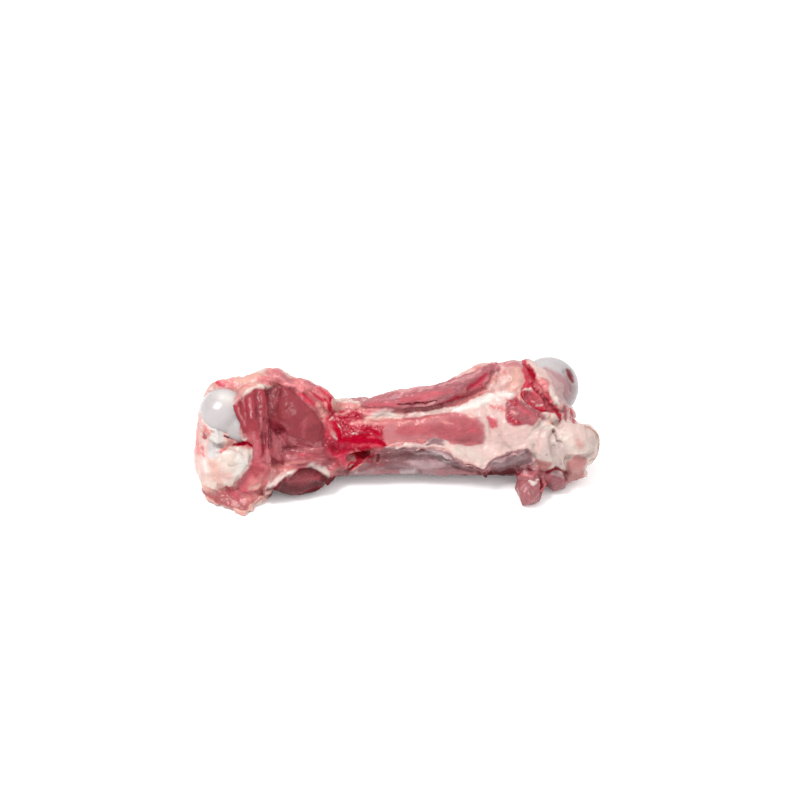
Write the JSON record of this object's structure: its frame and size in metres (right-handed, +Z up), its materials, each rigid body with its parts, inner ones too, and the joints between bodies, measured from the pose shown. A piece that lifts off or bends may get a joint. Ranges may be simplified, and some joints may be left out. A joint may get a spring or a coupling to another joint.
{
  "type": "pork leg bone",
  "caption": "Raw pork leg bone with its knuckle and round head bare, wrapped in torn red muscle, pale fat and gristle, lying on its side.",
  "frame": {"origin": "middle of the footprint, on the surface that the meat lies on", "axes": "+X along the bone from the knuckle to the round head, +Z up as it lies, -Y towards the side with the two muscle lobes"},
  "size_m": [0.214, 0.0862, 0.0549],
  "materials": {
    "gristle": "smooth wet cartilage, pale blue-grey",
    "raw_meat": "moist raw muscle, red to pink, with cream fat"
  },
  "bodies": {
    "root": {"femur": "gristle", "flesh": "raw_meat"}
  },
  "joints": []
}
